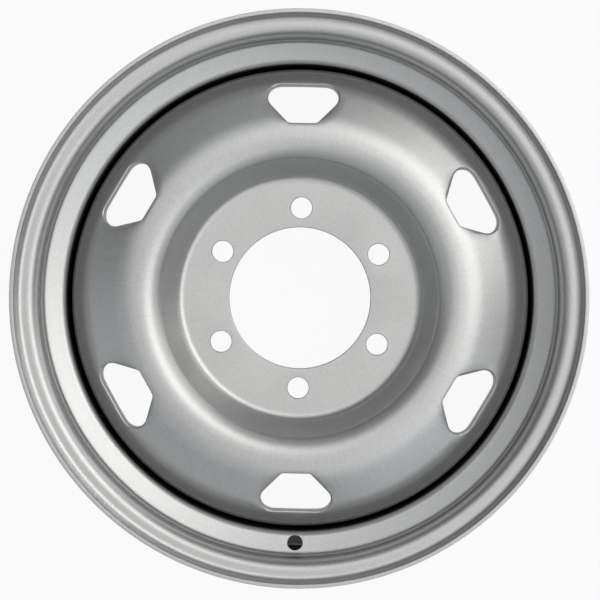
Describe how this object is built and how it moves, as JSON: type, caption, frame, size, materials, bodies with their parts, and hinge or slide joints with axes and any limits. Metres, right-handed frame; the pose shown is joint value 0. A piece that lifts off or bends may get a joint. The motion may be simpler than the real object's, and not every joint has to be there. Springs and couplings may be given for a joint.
{
  "type": "steel wheel rim",
  "caption": "Silver painted steel disc wheel for a light truck, with a drop-centre rim, a pressed disc with vent windows, a large centre bore, stud holes and a valve hole.",
  "frame": {"origin": "centre of the disc's hub-mounting face, on the wheel's axis", "axes": "+Z along the axis, outboard and up as the wheel lies on its inboard flange; -Y through the valve hole; +X completes the right-handed set"},
  "size_m": [0.4406, 0.4404, 0.1901],
  "materials": {
    "silver_paint": "satin metallic silver paint over a dark primer",
    "weld_paint": "rippled weld bead under thin silver paint"
  },
  "bodies": {
    "root": {"rim": "silver_paint", "disc": "silver_paint", "disc_welds": "weld_paint"}
  },
  "joints": []
}
